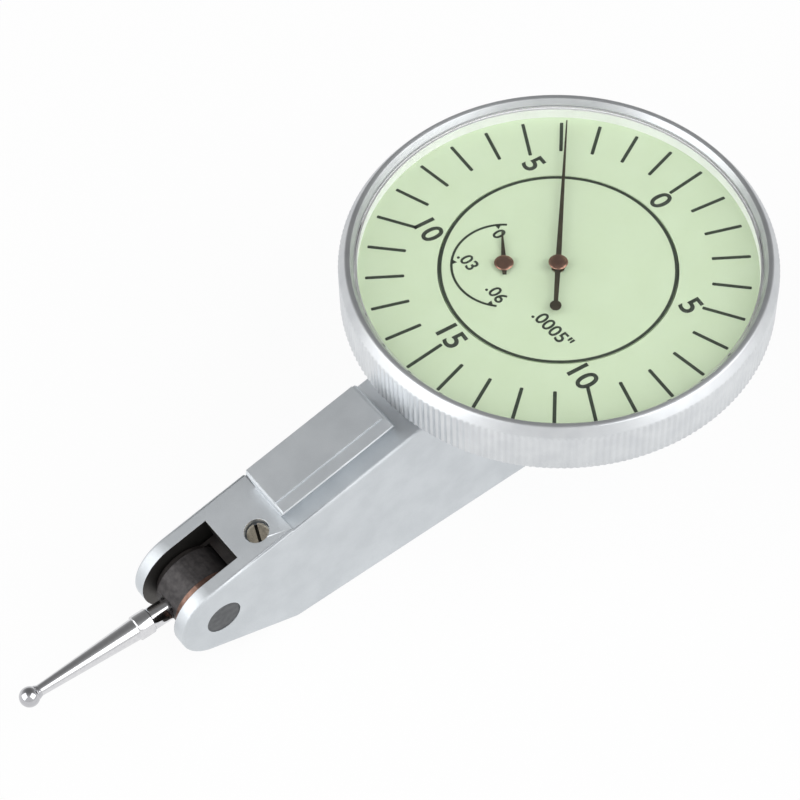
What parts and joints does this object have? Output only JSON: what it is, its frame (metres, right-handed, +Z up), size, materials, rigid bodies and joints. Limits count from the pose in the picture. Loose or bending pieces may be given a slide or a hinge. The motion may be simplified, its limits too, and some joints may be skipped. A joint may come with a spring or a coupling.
{
  "type": "dial test indicator",
  "caption": "Lever-type dial test indicator: slim body with dovetails, swivelling ball stylus, turning bezel with graduated dial, main pointer and turn counter.",
  "frame": {"origin": "on the dial axis, in the plane of the flat belly of the body", "axes": "+X along the body from the stylus to the rear, +Z up along the dial axis, +Y to the far side"},
  "size_m": [0.0774, 0.038, 0.0226],
  "materials": {
    "satin_chrome": "satin chrome plating on steel",
    "dark_plug": "blackened, matte",
    "polished_steel": "polished",
    "ball_steel": "mirror polished",
    "screw_steel": "turned, slightly dark",
    "black_steel": "blackened",
    "copper": "bare bronze",
    "brass": "fine turned",
    "ruby": "polished stone",
    "spring_bronze": "bare",
    "dial_green": "matte painted",
    "crystal": "clear",
    "crystal_ring": "satin",
    "pointer_dark": "matte",
    "pointer_cap": "polished"
  },
  "bodies": {
    "housing_group": {"housing": "satin_chrome", "pivot_plug_near": "dark_plug", "pivot_plug_far": "dark_plug", "arbor_bush_near": "screw_steel", "arbor_bush_far": "screw_steel", "lever_stop_screw": "screw_steel", "movement_plate": "brass", "plate_screws": "screw_steel", "staff_bracket": "polished_steel", "bracket_screws": "screw_steel", "staff_jewel_lower": "ruby", "staff_jewel_upper": "ruby", "counter_jewel": "ruby", "hairspring_stud": "screw_steel", "hairspring": "spring_bronze", "dial_pillars": "brass", "dial_disc": "dial_green", "bezel_snap_ring": "polished_steel"},
    "bezel_group": {"bezel": "satin_chrome", "crystal": "crystal", "crystal_ring": "crystal_ring", "dial_ring": "dial_green"},
    "lever": {"pivot_axle": "polished_steel", "lever_yoke": "black_steel", "lever_arm": "black_steel", "sector_gear": "brass", "lever_rivets": "polished_steel", "friction_washer": "copper", "thrust_washer": "black_steel"},
    "stylus_group": {"stylus_holder": "black_steel", "stylus": "polished_steel", "contact_ball": "ball_steel"},
    "contrate_group": {"contrate_arbor": "polished_steel", "contrate_wheel": "brass"},
    "main_pointer_group": {"centre_staff": "polished_steel", "counter_pinion": "brass", "hairspring_collet": "brass", "main_pointer": "pointer_dark", "main_pointer_cap": "pointer_cap"},
    "counter_group": {"counter_arbor": "polished_steel", "counter_wheel": "brass", "counter_pointer": "pointer_dark", "counter_pointer_cap": "pointer_cap"}
  },
  "joints": [
    {"name": "bezel_turn", "type": "hinge", "parent": "housing_group", "child": "bezel_group", "pos_m": [0, 0, 0.02002], "axis": [0, 0, 1], "continuous": true},
    {"name": "lever_pivot", "type": "hinge", "parent": "housing_group", "child": "lever", "pos_m": [-0.03916, 0, 0.00728], "axis": [0, 1, 0], "range_deg": [0, 5.08], "stiffness_Nm_per_rad": 0.01, "springref_deg": -9.74},
    {"name": "stylus_swivel", "type": "hinge", "parent": "lever", "child": "stylus_group", "pos_m": [-0.03916, 0, 0.00728], "axis": [0, 1, 0], "range_deg": [-100, 100]},
    {"name": "contrate_turn", "type": "hinge", "parent": "housing_group", "child": "contrate_group", "pos_m": [0, 0, 0.00912], "axis": [0, 1, 0], "range_deg": [-216, 0]},
    {"name": "main_pointer_turn", "type": "hinge", "parent": "housing_group", "child": "main_pointer_group", "pos_m": [0, 0, 0.01812], "axis": [0, 0, 1], "range_deg": [-1440, 0]},
    {"name": "counter_turn", "type": "hinge", "parent": "housing_group", "child": "counter_group", "pos_m": [-0.00351, 0.0031, 0.01902], "axis": [0, 0, 1], "range_deg": [0, 160]}
  ],
  "couplings": [
    {"joint": "contrate_turn", "follows": "lever_pivot", "ratio": -42.556},
    {"joint": "main_pointer_turn", "follows": "lever_pivot", "ratio": -283.7},
    {"joint": "counter_turn", "follows": "lever_pivot", "ratio": 31.523}
  ]
}
